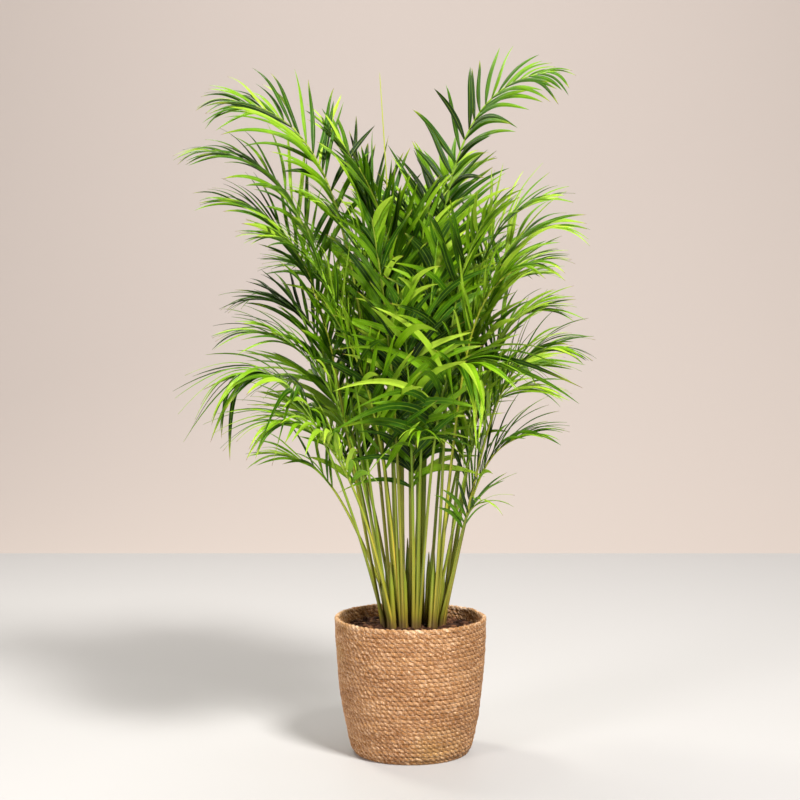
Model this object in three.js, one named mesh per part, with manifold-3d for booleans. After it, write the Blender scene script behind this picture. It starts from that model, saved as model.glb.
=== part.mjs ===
// Potted areca palm: a clump of thin canes with arching pinnate fronds, planted in soil in a round
// basket of coiled grass rope. Millimetres, +Z up. The basket stands on z = 0 and is centred on the Z axis.
// +X is the plant's right and -Y its front. Every frond is one piece: stalk, midrib and leaflets.
import * as THREE from "three";
import { mergeVertices } from "three/addons/utils/BufferGeometryUtils.js";
import Module from "manifold-3d";

const wasm = await Module();
wasm.setup();

// Basket: outer radius at each height, then the rope coils that its wall is sewn from.
const BASKET_HEIGHT = 250;
const BASKET_FOOT_RADIUS = 102;
const BASKET_WALL = 8;
const BASKET_FLOOR = 8;
const BASKET_OUTLINE = [
  [0, 102],
  [6, 109],
  [16, 114],
  [67, 124.5],
  [118, 132],
  [169, 136.5],
  [215, 139],
  [250, 139.5],
];
const ROPE_COILS = 31;
const ROPE_RELIEF = 1.6;
const BASKET_SIDES = 24;

// Soil: a low mound whose edge lies below the rim.
const SOIL_EDGE = 226;
const SOIL_CROWN = 9;
const SOIL_GAP = 0.5;

// Gap kept between any two neighbouring pieces.
const GAP = 0.35;
const STEM_DEPTH = 22;

// Canes: x, y, azimuth and angle of the lean from upright, height above the soil, radius at the foot.
const CANES = [
  [-44, -8, 190, 4.8, 96, 5.4],
  [-32, -26, 215, 3.6, 120, 5.4],
  [-24, -4, 200, 2.4, 150, 5.8],
  [-11, -26, 250, 2.4, 118, 5.4],
  [-5, -5, 250, 1.2, 160, 5.8],
  [8, -25, 285, 1.8, 130, 5.4],
  [37, -22, 320, 3, 140, 5.4],
  [53, -6, 345, 4.2, 112, 5.4],
  [-38, 18, 165, 3.6, 130, 5.4],
  [-16, 18, 130, 1.8, 165, 5.8],
  [12, 14, 60, 1.2, 165, 5.8],
  [34, 4, 10, 2.4, 150, 5.8],
  [50, 20, 25, 4.2, 122, 5.4],
  [-23, 42, 125, 3.6, 125, 5.4],
  [2, 40, 95, 3, 140, 5.4],
  [30, 40, 60, 3.6, 128, 5.4],
];

// Fronds: cane, height of the stalk's foot above the soil, azimuth, reach of the midrib's end from the
// stalk's foot, height of that end, lean at the foot, lean at the end, bare share of the length,
// pairs of leaflets, longest leaflet, droop of the leaflets, roll of the blade about its midrib, and
// the breadth of the leaflets beside the usual where it differs.
const FRONDS = [
  // top tier
  [10, 35, -6, 232, 1241, 0, 84, 0.44, 19, 132, 0.5, -50, 1.28],
  [2, 35, 178, 292, 1192, 2.7, 82, 0.48, 15, 172, 0.49, 38],
  [8, 30, 184, 318, 1100, 4.8, 84, 0.48, 14, 178, 0.45, 25],
  [12, 30, -12, 180, 1010, 3.4, 74, 0.44, 14, 178, 0.35, -30],
  [7, 25, 8, 195, 965, 5.4, 84, 0.42, 14, 182, 0.42, -25],
  [9, 40, 160, 125, 1140, 1.4, 34, 0.5, 15, 190, 0.21, 10, 1.2],
  [10, 40, 60, 140, 1090, 2, 50, 0.48, 15, 184, 0.24, -20],
  [14, 35, 95, 225, 1030, 3.4, 78, 0.44, 15, 190, 0.35, 0],
  [4, 40, 225, 110, 1060, 1.4, 40, 0.48, 15, 190, 0.21, 15, 1.15],
  [3, 35, 208, 160, 1000, 2, 55, 0.44, 15, 190, 0.28, 15],
  [6, 35, -52, 150, 985, 2, 46, 0.44, 15, 190, 0.35, -15],
  // middle tier
  [0, 20, 186, 270, 1010, 6.1, 72, 0.37, 15, 186, 0.36, 30],
  [1, 30, 205, 225, 940, 5.4, 76, 0.35, 15, 186, 0.36, 20],
  [8, 20, 165, 245, 835, 8.2, 88, 0.34, 14, 186, 0.42, 15],
  [6, 30, -30, 185, 895, 3.4, 76, 0.35, 15, 190, 0.45, -15],
  [12, 20, 12, 185, 812, 6.8, 82, 0.34, 14, 186, 0.39, -12],
  [7, 20, -10, 205, 742, 8.2, 88, 0.34, 13, 190, 0.42, -15],
  [3, 30, -118, 120, 968, 2, 20, 0.37, 15, 198, 0.6, 8, 1.15],
  [5, 35, -72, 112, 935, 2, 22, 0.37, 15, 198, 0.6, -5, 1.15],
  [10, 35, -84, 90, 1015, 1.4, 18, 0.4, 15, 184, 0.4, 5],
  [13, 30, 120, 245, 945, 5.4, 76, 0.37, 14, 186, 0.36, 5],
  [15, 35, 62, 240, 925, 5.4, 78, 0.37, 14, 186, 0.36, 0],
  [10, 30, 92, 265, 855, 6.1, 86, 0.34, 14, 186, 0.39, 0],
  [11, 25, 32, 195, 875, 5.4, 76, 0.37, 14, 186, 0.36, -10],
  [9, 30, 150, 235, 895, 5.4, 80, 0.37, 14, 186, 0.36, 10],
  [1, 35, 196, 245, 775, 6, 82, 0.35, 14, 190, 0.5, 10],
  [5, 30, -98, 104, 830, 2.7, 24, 0.37, 14, 190, 0.35, 0, 1.15],
  // lower tier
  [0, 15, 196, 275, 700, 10.9, 102, 0.37, 13, 186, 1.4, 12],
  [1, 20, 203, 238, 618, 10.2, 94, 0.36, 13, 186, 0.75, 12],
  [2, 15, 190, 205, 548, 19.8, 82, 0.54, 6, 150, 0.35, 20],
  [12, 15, -4, 155, 585, 9.5, 75, 0.38, 10, 184, 0.52, -10],
  [6, 20, -20, 165, 670, 9.5, 88, 0.35, 12, 190, 0.49, -12],
  [5, 20, -58, 140, 715, 5.4, 105, 0.38, 12, 218, 1.35, -10],
  [3, 20, -134, 135, 800, 5.4, 34, 0.38, 13, 194, 0.4, 10, 1.1],
  [4, 20, -80, 96, 600, 3.4, 70, 0.45, 7, 132, 1.3, 0, 1.35],
  [13, 20, 135, 245, 680, 10.2, 95, 0.35, 13, 190, 0.52, 5],
  [15, 20, 48, 240, 700, 9.5, 95, 0.35, 13, 190, 0.52, 0],
  [14, 20, 82, 230, 620, 10.2, 90, 0.35, 12, 186, 0.49, 0],
  [13, 25, 100, 240, 780, 7.5, 90, 0.36, 13, 190, 0.45, 0],
  [8, 15, 150, 200, 610, 12.2, 85, 0.38, 11, 184, 0.45, 10],
  [7, 15, -25, 95, 470, 13.6, 80, 0.52, 5, 120, 0.6, 0],
];
// One furled new leaf stands upright as a spear: cane, height of its foot, azimuth, reach and top.
const SPEAR = [4, 125, 160, 44, 1232];

const STALK_WIDTH = 5.8;
const MIDRIB_END_WIDTH = 2.2;
const LEAFLET_THICKNESS = 1.3;
const LEAFLET_FOOT = 7;
const LEAFLET_WAIST = 0.42;
const LEAFLET_SLENDERNESS = 0.036;

const toRadians = THREE.MathUtils.degToRad;

// Growth is uneven: a repeatable number between -1 and 1 for each frond, pair and side.
function unevenness(a, b, c) {
  const wave = Math.sin(a * 12.9898 + b * 78.233 + c * 37.719) * 43758.5453;
  return 2 * (wave - Math.floor(wave)) - 1;
}

// Unit vector at an angle from upright, in the vertical plane at an azimuth from +X.
function heading(azimuth, tilt) {
  const a = toRadians(azimuth);
  const t = toRadians(tilt);
  return new THREE.Vector3(Math.sin(t) * Math.cos(a), Math.sin(t) * Math.sin(a), Math.cos(t));
}

function soilHeight(x, y) {
  const share = Math.min(1, Math.hypot(x, y) / 128);
  return SOIL_EDGE + SOIL_CROWN * (1 - share * share);
}

// A point of a cane's axis, at a height above the soil.
function canePoint([x, y, azimuth, lean], rise) {
  return new THREE.Vector3(x, y, soilHeight(x, y)).addScaledVector(heading(azimuth, lean), rise);
}

// A closed geometry from corner points and triangles that index them.
function closedGeometry(points, faces) {
  const geometry = new THREE.BufferGeometry();
  const flat = points.flatMap((p) => [p.x, p.y, p.z]);
  geometry.setAttribute("position", new THREE.Float32BufferAttribute(flat, 3));
  geometry.setIndex(faces.flat());
  return geometry;
}

function toSolid(geometry) {
  const bare = geometry.clone();
  bare.deleteAttribute("normal");
  bare.deleteAttribute("uv");
  const merged = mergeVertices(bare, 1e-4);
  const vertProperties = new Float32Array(merged.attributes.position.array);
  const triVerts = new Uint32Array(merged.index.array);
  return new wasm.Manifold(new wasm.Mesh({ numProp: 3, vertProperties, triVerts }));
}

function toGeometry(solid) {
  const { vertProperties, triVerts } = solid.getMesh();
  const geometry = new THREE.BufferGeometry();
  geometry.setAttribute("position", new THREE.BufferAttribute(new Float32Array(vertProperties), 3));
  geometry.setIndex(new THREE.BufferAttribute(new Uint32Array(triVerts), 1));
  geometry.computeVertexNormals();
  return geometry;
}

// Skin between rings of points, each ring going round the same way, with a point or a flat fan at each end.
function ringSkin(rings) {
  const points = rings.flat();
  const faces = [];
  const starts = [];
  let count = 0;
  for (const ring of rings) {
    starts.push(count);
    count += ring.length;
  }
  for (let k = 0; k + 1 < rings.length; k++) {
    const n = rings[k].length;
    const m = rings[k + 1].length;
    for (let i = 0; i < n; i++) {
      const j = (i + 1) % n;
      const a = starts[k] + i;
      const b = starts[k] + j;
      if (m === 1) {
        faces.push([a, b, starts[k + 1]]);
      } else {
        faces.push([a, b, starts[k + 1] + j]);
        faces.push([a, starts[k + 1] + j, starts[k + 1] + i]);
      }
    }
  }
  for (let i = 1; i + 1 < rings[0].length; i++) {
    faces.push([starts[0], starts[0] + i + 1, starts[0] + i]);
  }
  const last = starts[rings.length - 1];
  for (let i = 1; i + 1 < rings[rings.length - 1].length; i++) {
    faces.push([last, last + i, last + i + 1]);
  }
  return closedGeometry(points, faces);
}

// A profile of radius and height, turned round the Z axis.
function turned(profile) {
  return new THREE.LatheGeometry(profile, BASKET_SIDES).rotateX(Math.PI / 2);
}

function basketGeometry() {
  const outside = (z) => {
    const k = Math.max(1, BASKET_OUTLINE.findIndex(([height]) => height >= z));
    const [z0, r0] = BASKET_OUTLINE[k - 1];
    const [z1, r1] = BASKET_OUTLINE[k];
    return r0 + ((r1 - r0) * (z - z0)) / (z1 - z0);
  };
  const profile = [new THREE.Vector2(0, 0), new THREE.Vector2(BASKET_FOOT_RADIUS, 0)];
  const pitch = BASKET_HEIGHT / ROPE_COILS;
  for (let coil = 0; coil < ROPE_COILS; coil++) {
    const middle = (coil + 0.5) * pitch;
    profile.push(new THREE.Vector2(outside(middle), middle));
    if (coil < ROPE_COILS - 1) {
      const groove = (coil + 1) * pitch;
      profile.push(new THREE.Vector2(outside(groove) - ROPE_RELIEF, groove));
    }
  }
  profile.push(new THREE.Vector2(outside(BASKET_HEIGHT) - 2.5, BASKET_HEIGHT));
  profile.push(new THREE.Vector2(outside(BASKET_HEIGHT) - BASKET_WALL + 1.5, BASKET_HEIGHT));
  for (const z of [246, 214, 168, 118, 67, 22]) {
    profile.push(new THREE.Vector2(outside(z) - BASKET_WALL, z));
  }
  profile.push(new THREE.Vector2(outside(16) - BASKET_WALL - 6, BASKET_FLOOR));
  profile.push(new THREE.Vector2(0, BASKET_FLOOR));
  return { geometry: turned(profile), outside };
}

function soilGeometry(outside) {
  const wall = (z) => outside(z) - BASKET_WALL - SOIL_GAP;
  const profile = [new THREE.Vector2(0, BASKET_FLOOR + SOIL_GAP)];
  profile.push(new THREE.Vector2(outside(16) - BASKET_WALL - 7, BASKET_FLOOR + SOIL_GAP));
  for (const z of [24, 67, 118, 168, 214, SOIL_EDGE - 1]) {
    profile.push(new THREE.Vector2(wall(z) - 0.3, z));
  }
  for (const share of [0.94, 0.72, 0.48, 0.24]) {
    const r = share * wall(SOIL_EDGE);
    profile.push(new THREE.Vector2(r, soilHeight(r, 0)));
  }
  profile.push(new THREE.Vector2(0, soilHeight(0, 0)));
  return turned(profile);
}

// A cane: a slim tube, a little thicker at its foot and at the sheaths, and domed where the last
// leaf left it.
function stemRings(cane, grow) {
  const [x, y, azimuth, lean, height, radius] = cane;
  const side = heading(azimuth + 90, 90);
  const front = new THREE.Vector3().crossVectors(heading(azimuth, lean), side).negate();
  const levels = [
    [-STEM_DEPTH, 0.92],
    [0, 1.04],
    [height * 0.4, 0.9],
    [height * 0.42, 0.98],
    [height * 0.85, 0.78],
    [height, 0.5],
  ];
  const rings = levels.map(([rise, share]) => {
    const centre = canePoint(cane, rise);
    const ring = [];
    for (let k = 0; k < 8; k++) {
      const turn = (k * Math.PI) / 4;
      const corner = centre.clone().addScaledVector(front, Math.cos(turn) * (radius * share + grow));
      ring.push(corner.addScaledVector(side, Math.sin(turn) * (radius * share + grow)));
    }
    return ring;
  });
  return rings;
}

// A stalk's foot can sit to one side of its blade's azimuth, which then turns a little with it.
function bladeAzimuth(azimuth, nudge) {
  return azimuth + 0.2 * nudge;
}

// The midrib's curve, from the stalk's foot beside its cane to the blade's end.
function midribCurve([cane, rise, azimuth, reach, top, lean, endLean], nudge) {
  const [, , caneAzimuth, caneLean, , radius] = CANES[cane];
  const turned = bladeAzimuth(azimuth, nudge);
  const outward = heading(turned, 90);
  const footSide = heading(azimuth + nudge, 90);
  const foot = canePoint(CANES[cane], rise).addScaledVector(footSide, radius + STALK_WIDTH / 2 + 0.8);
  const end = foot.clone().addScaledVector(outward, reach);
  end.z = top;
  const chord = foot.distanceTo(end);
  const start = heading(caneAzimuth, caneLean);
  start.addScaledVector(outward, Math.tan(toRadians(lean))).normalize();
  const bend = (endLean - lean) / 90;
  const near = foot.clone().addScaledVector(start, chord * (0.42 + 0.36 * bend));
  const far = end.clone().addScaledVector(heading(turned, endLean), -chord * (0.34 - 0.16 * bend));
  return new THREE.CubicBezierCurve3(foot, near, far, end);
}

// Axes of a frond at t along its midrib: tangent, side to the left, and the upper face's normal.
function frondAxes(curve, azimuth, roll, t) {
  const tangent = curve.getTangent(t);
  const level = heading(azimuth + 90, 90);
  const side = level.addScaledVector(tangent, -level.dot(tangent)).normalize();
  const upper = new THREE.Vector3().crossVectors(tangent, side);
  const turn = toRadians(roll) * (1.5 - 0.8 * t);
  const normal = upper.clone().multiplyScalar(Math.cos(turn)).addScaledVector(side, Math.sin(turn));
  const left = side.multiplyScalar(Math.cos(turn)).addScaledVector(upper, -Math.sin(turn));
  return { tangent, left, normal };
}

function stalkWidth(t) {
  return STALK_WIDTH + (MIDRIB_END_WIDTH - STALK_WIDTH) * Math.min(1, t * 1.02) ** 1.3;
}

// Four corners of the midrib's section: left, on top, right and underneath.
function midribRing(curve, frond, nudge, t) {
  const { left, normal } = frondAxes(curve, bladeAzimuth(frond[2], nudge), frond[11], t);
  const half = stalkWidth(t) / 2;
  const centre = curve.getPoint(t);
  return [
    centre.clone().addScaledVector(left, half),
    centre.clone().addScaledVector(normal, half),
    centre.clone().addScaledVector(left, -half),
    centre.clone().addScaledVector(normal, -half),
  ];
}

function midribTip(curve) {
  return curve.getPoint(1).addScaledVector(curve.getTangent(1), 6);
}

// Leaflet lengths swell a little past the blade's foot and shorten toward its end.
function leafletShare(q) {
  if (q < 0.35) return 0.74 + 0.26 * Math.sin((Math.PI / 2) * (q / 0.35));
  return 1 - 0.6 * ((q - 0.35) / 0.65) ** 1.15;
}

function leafletPlace(frond, pair) {
  const bare = frond[7];
  const q = pair / (frond[8] - 1);
  return { q, t: bare + (0.985 - bare) * q };
}

// The centre curve of one leaflet and its half width. swing lifts or lowers it about the midrib.
function leafletCurve(curve, frond, nudge, number, pair, sideSign, swing) {
  const { q, t } = leafletPlace(frond, pair);
  const { tangent, left, normal } = frondAxes(curve, bladeAzimuth(frond[2], nudge), frond[11], t);
  const length = frond[9] * leafletShare(q) * (1 + 0.13 * unevenness(number, pair, sideSign));
  const spread = toRadians(46 - 24 * q + 8 * unevenness(number, pair, sideSign + 5));
  const rise = toRadians(24 - 14 * q + 9 * unevenness(number, pair, sideSign + 9) + swing);
  const outward = left.clone().multiplyScalar(sideSign * Math.cos(rise));
  outward.addScaledVector(normal, Math.sin(rise));
  const start = tangent.clone().multiplyScalar(Math.cos(spread)).addScaledVector(outward, Math.sin(spread));
  const droop = frond[10] * (1 + 0.45 * unevenness(number, pair, sideSign + 3));
  const sag = new THREE.Vector3(0, 0, -1).addScaledVector(start, start.z);
  const foot = curve.getPoint(t).addScaledVector(left, sideSign * stalkWidth(t) * 0.25);
  foot.addScaledVector(normal, stalkWidth(t) * 0.25);
  const control = foot.clone().addScaledVector(start, length * 0.5);
  const tip = foot.clone().addScaledVector(start, length * (1 - 0.12 * droop));
  tip.addScaledVector(sag, length * droop * 0.75);
  const breadth = frond[9] * LEAFLET_SLENDERNESS * (frond[12] ?? 1);
  const half = breadth * (1 + 0.12 * unevenness(number, pair, sideSign + 7));
  const path = new THREE.QuadraticBezierCurve3(foot, control, tip);
  return { path, half: half * (1 - 0.3 * q), normal, tangent };
}

// Middle section of a leaflet: its two edges and the ridge of its vein.
function leafletSection({ path, half, normal }, sideSign) {
  const along = path.getTangent(LEAFLET_WAIST);
  const face = normal.clone().addScaledVector(along, -normal.dot(along)).normalize();
  const across = new THREE.Vector3().crossVectors(along, face).multiplyScalar(sideSign);
  const centre = path.getPoint(LEAFLET_WAIST);
  return {
    rear: centre.clone().addScaledVector(across, -half),
    front: centre.clone().addScaledVector(across, half),
    ridge: centre.clone().addScaledVector(face, LEAFLET_THICKNESS),
  };
}

// Values of t where the midrib has a ring of corners: up the stalk, then at both ends of each pair's foot.
function midribStations(frond, curve) {
  const bare = frond[7];
  const steps = Math.max(4, Math.round(bare * 12));
  const stations = [0];
  for (let k = 1; k < steps; k++) stations.push((bare * k) / steps - 0.004);
  const reach = LEAFLET_FOOT / 2 / curve.getLength();
  for (let pair = 0; pair < frond[8]; pair++) {
    const { t } = leafletPlace(frond, pair);
    stations.push(t - reach, t + reach);
  }
  return stations;
}

// Triangles that draw a leaflet out of one upper face of the midrib: low and high corners, then the
// same two at the next ring, the two edges and the ridge of the middle section, and the tip.
function leafletFaces([low, high, lowNext, highNext, rear, front, ridge, tip], sideSign) {
  const faces = [
    [low, rear, front],
    [low, front, lowNext],
    [lowNext, front, highNext],
    [highNext, front, ridge],
    [highNext, ridge, high],
    [high, ridge, rear],
    [high, rear, low],
    [rear, tip, front],
    [front, tip, ridge],
    [ridge, tip, rear],
  ];
  return sideSign > 0 ? faces : faces.map(([a, b, c]) => [a, c, b]);
}

// Solid of a single leaflet, used to find out what it would touch.
function leafletProbe(leaflet, crown, pair, sideSign) {
  const { frond, nudge, curve } = crown;
  const { t } = leafletPlace(frond, pair);
  const reach = LEAFLET_FOOT / 2 / curve.getLength();
  const edge = sideSign > 0 ? 0 : 2;
  const first = midribRing(curve, frond, nudge, t - reach);
  const next = midribRing(curve, frond, nudge, t + reach);
  const { rear, front, ridge } = leafletSection(leaflet, sideSign);
  const points = [first[edge], first[1], next[edge], next[1], rear, front, ridge, leaflet.path.getPoint(1)];
  const faces = leafletFaces([0, 1, 2, 3, 4, 5, 6, 7], sideSign);
  const cap = sideSign > 0 ? [[0, 2, 3], [0, 3, 1]] : [[0, 3, 2], [0, 1, 3]];
  return toSolid(closedGeometry(points, [...faces, ...cap]));
}

const placed = [];

function remember(solid, owner) {
  const { min, max } = solid.boundingBox();
  placed.push({ solid, min, max, owner });
}

function isClear(solid, gap, ignored) {
  const { min, max } = solid.boundingBox();
  for (const other of placed) {
    if (ignored.includes(other.owner)) continue;
    const apart = [0, 1, 2].some((k) => min[k] > other.max[k] + gap || max[k] < other.min[k] - gap);
    if (!apart && solid.minGap(other.solid, gap + 1) < gap) return false;
  }
  return true;
}

function standardMaterial(color, roughness) {
  return new THREE.MeshStandardMaterial({ color, roughness, metalness: 0, flatShading: true });
}

const palm = new THREE.Group();

function addPiece(name, geometry, color, roughness) {
  const mesh = new THREE.Mesh(geometry, standardMaterial(color, roughness));
  mesh.name = name;
  palm.add(mesh);
}

const basket = basketGeometry();
addPiece("basket", basket.geometry, 0xb98a55, 0.9);

// The soil has a socket for every cane.
let soil = toSolid(soilGeometry(basket.outside));
for (const cane of CANES) {
  soil = soil.subtract(toSolid(ringSkin(stemRings(cane, GAP))));
}
addPiece("soil", toGeometry(soil), 0x3d2a1e, 1);

const two = (n) => String(n).padStart(2, "0");

CANES.forEach((cane, k) => {
  const geometry = ringSkin(stemRings(cane, 0));
  remember(toSolid(geometry), "stem" + k);
  addPiece("stem_" + two(k + 1), geometry, 0x9aa545, 0.5);
});

// The spear: a furled leaf, a thin spike with a slight bend.
const spearRow = [SPEAR[0], SPEAR[1], SPEAR[2], SPEAR[3], SPEAR[4], 1, 4];
const spearCurve = midribCurve(spearRow, 0);
const spearRings = [];
for (let k = 0; k <= 12; k++) {
  const t = k / 12;
  const half = 3 - 1.9 * t;
  const centre = spearCurve.getPoint(t);
  const { left, normal } = frondAxes(spearCurve, SPEAR[2], 0, t);
  const ring = [];
  for (let i = 0; i < 5; i++) {
    const turn = (i * 2 * Math.PI) / 5;
    const point = centre.clone().addScaledVector(left, Math.cos(turn) * half);
    ring.push(point.addScaledVector(normal, Math.sin(turn) * half));
  }
  spearRings.push(ring);
}
spearRings.push([spearCurve.getPoint(1).addScaledVector(spearCurve.getTangent(1), 12)]);
const spearGeometry = ringSkin(spearRings);
remember(toSolid(spearGeometry), "spear");
addPiece("spear_leaf", spearGeometry, 0xa9c878, 0.45);

// Midribs first: each stalk's foot moves round its cane until the stalk is clear of the others.
const NUDGES = [0, 8, -8, 16, -16, 25, -25, 35, -35, 46, -46, 58, -58, 70, -70, 85, -85, 100, -100];
const crowns = FRONDS.map((frond, k) => {
  for (const nudge of NUDGES) {
    const curve = midribCurve(frond, nudge);
    const rings = midribStations(frond, curve).map((t) => midribRing(curve, frond, nudge, t));
    rings.push([midribTip(curve)]);
    const solid = toSolid(ringSkin(rings));
    if (isClear(solid, GAP + 0.4, [])) {
      remember(solid, "frond" + k);
      return { frond, nudge, curve, leaflets: [] };
    }
  }
  throw new Error("frond " + (k + 1) + " has no clear way up");
});

// Then the leaflets, each swung up or down a little where it would touch a neighbour. One that can't be
// cleared is missing, as a few are on any plant.
const SWINGS = [0, 8, -8, 16, -16, 24, -24, 34, -34, 46, -46];
crowns.forEach((crown, k) => {
  const { frond, nudge, curve } = crown;
  for (let pair = 0; pair < frond[8]; pair++) {
    for (const sideSign of [1, -1]) {
      let chosen = null;
      for (const swing of SWINGS) {
        const leaflet = leafletCurve(curve, frond, nudge, k + 1, pair, sideSign, swing);
        const probe = leafletProbe(leaflet, crown, pair, sideSign);
        const partner = "pair" + k + "." + pair;
        if (isClear(probe, GAP + 0.1, ["frond" + k, partner])) {
          remember(probe, partner);
          chosen = { ...leaflet, pair, sideSign, swing };
          break;
        }
      }
      if (chosen) crown.leaflets.push(chosen);
    }
  }
});

// One closed skin for a frond: the midrib's four-cornered tube, with each leaflet drawn out of an
// upper face.
function frondGeometry({ frond, nudge, curve, leaflets }) {
  const points = [];
  const faces = [];
  const addRing = (t) => {
    const first = points.length;
    points.push(...midribRing(curve, frond, nudge, t));
    return first;
  };
  const quad = (a, b, c, d) => faces.push([a, b, c], [a, c, d]);
  const addWall = (first, next, corner) => {
    const other = (corner + 1) % 4;
    quad(first + corner, first + other, next + other, next + corner);
  };
  const addLeaflet = (first, next, leaflet) => {
    const { rear, front, ridge } = leafletSection(leaflet, leaflet.sideSign);
    const start = points.length;
    const edge = leaflet.sideSign > 0 ? 0 : 2;
    points.push(rear, front, ridge, leaflet.path.getPoint(1));
    const foot = [first + edge, first + 1, next + edge, next + 1];
    const corners = [...foot, start, start + 1, start + 2, start + 3];
    faces.push(...leafletFaces(corners, leaflet.sideSign));
  };
  const stations = midribStations(frond, curve);
  const stalkRings = stations.length - 2 * frond[8];
  let last = addRing(stations[0]);
  faces.push([last, last + 2, last + 1], [last, last + 3, last + 2]);
  for (const t of stations.slice(1, stalkRings)) {
    const next = addRing(t);
    for (let corner = 0; corner < 4; corner++) addWall(last, next, corner);
    last = next;
  }
  for (let pair = 0; pair < frond[8]; pair++) {
    const left = leaflets.find((leaf) => leaf.pair === pair && leaf.sideSign > 0);
    const right = leaflets.find((leaf) => leaf.pair === pair && leaf.sideSign < 0);
    const first = addRing(stations[stalkRings + 2 * pair]);
    for (let corner = 0; corner < 4; corner++) addWall(last, first, corner);
    const next = addRing(stations[stalkRings + 2 * pair + 1]);
    addWall(first, next, 2);
    addWall(first, next, 3);
    if (left) addLeaflet(first, next, left);
    else addWall(first, next, 0);
    if (right) addLeaflet(first, next, right);
    else addWall(first, next, 1);
    last = next;
  }
  points.push(midribTip(curve));
  for (let corner = 0; corner < 4; corner++) {
    faces.push([last + corner, last + ((corner + 1) % 4), points.length - 1]);
  }
  return closedGeometry(points, faces);
}

crowns.forEach((crown, k) => {
  const hue = 0.25 + 0.02 * unevenness(k, 2, 1);
  const tone = new THREE.Color().setHSL(hue, 0.55, 0.3 + 0.05 * unevenness(k, 1, 2));
  addPiece("frond_" + two(k + 1), frondGeometry(crown), tone, 0.5);
});

export default palm;
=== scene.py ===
"""Looks of the potted palm: a coiled grass-rope basket, potting soil, canes, and fronds with curved leaflets.

The fronds are grown by the same rules as the CAD solids, and each leaflet takes the place of the one that the
CAD model has at its tip. Lengths in the growing rules are millimetres; Blender objects are metres.
"""

import math
from collections import namedtuple

import bmesh
import bpy
import numpy as np
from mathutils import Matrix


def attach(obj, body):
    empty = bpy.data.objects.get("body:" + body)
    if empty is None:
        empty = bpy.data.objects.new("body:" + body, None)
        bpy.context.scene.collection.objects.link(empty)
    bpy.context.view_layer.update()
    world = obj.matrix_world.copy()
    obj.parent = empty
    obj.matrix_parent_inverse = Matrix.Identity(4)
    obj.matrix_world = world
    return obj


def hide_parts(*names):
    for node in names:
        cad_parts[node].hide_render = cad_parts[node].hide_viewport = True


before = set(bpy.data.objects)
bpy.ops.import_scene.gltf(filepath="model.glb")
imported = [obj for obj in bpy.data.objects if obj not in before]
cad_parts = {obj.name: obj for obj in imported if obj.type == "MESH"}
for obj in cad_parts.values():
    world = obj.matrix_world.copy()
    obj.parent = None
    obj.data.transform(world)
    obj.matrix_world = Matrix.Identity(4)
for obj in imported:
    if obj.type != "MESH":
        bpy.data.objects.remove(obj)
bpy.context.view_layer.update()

MM = 0.001
rng = np.random.default_rng(7)


# ---------------------------------------------------------------- camera, light and stage

CAMERA_PITCH = 3.53  # degrees below level
camera_data = bpy.data.cameras.new("camera")
camera_data.lens = 76.5
camera_data.sensor_width = 36.0
camera = bpy.data.objects.new("camera", camera_data)
camera.location = (-0.020, -3.1, 0.84)
camera.rotation_euler = (math.radians(90 - CAMERA_PITCH), 0, 0)
bpy.context.scene.collection.objects.link(camera)
bpy.context.scene.camera = camera


def area_light(name, place, aim, size, power, color):
    """A round lamp at a place, facing the aim."""
    data = bpy.data.lights.new(name, "AREA")
    data.shape = "DISK"
    data.size = size
    data.energy = power
    data.color = color
    light = bpy.data.objects.new(name, data)
    light.location = place
    gaze = np.array(aim, float) - np.array(place, float)
    yaw = math.atan2(gaze[1], gaze[0])
    tilt = math.acos(-gaze[2] / np.linalg.norm(gaze))
    light.rotation_euler = (tilt, 0, yaw - math.pi / 2)
    bpy.context.scene.collection.objects.link(light)


area_light("key", (2.2, -3.5, 4.9), (0, 0, 0.6), 1.5, 715, (1.0, 0.975, 0.94))
area_light("fill", (-3.1, -3.3, 1.5), (0, 0, 0.3), 1.6, 146, (1.0, 0.96, 0.96))
area_light("back", (-1.3, 1.3, 2.7), (0, 0, 0.8), 0.7, 44, (1.0, 0.98, 0.88))
area_light("backdrop", (0, 2.0, 5.6), (0, 5.6, 1.2), 3.0, 169, (1.0, 0.98, 0.97))

world = bpy.data.worlds.new("studio")
world.use_nodes = True
world.node_tree.nodes["Background"].inputs["Color"].default_value = (1.0, 0.98, 0.955, 1)
world.node_tree.nodes["Background"].inputs["Strength"].default_value = 0.105
bpy.context.scene.world = world
bpy.context.scene.view_settings.view_transform = "Standard"


# ---------------------------------------------------------------- small helpers for meshes


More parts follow.
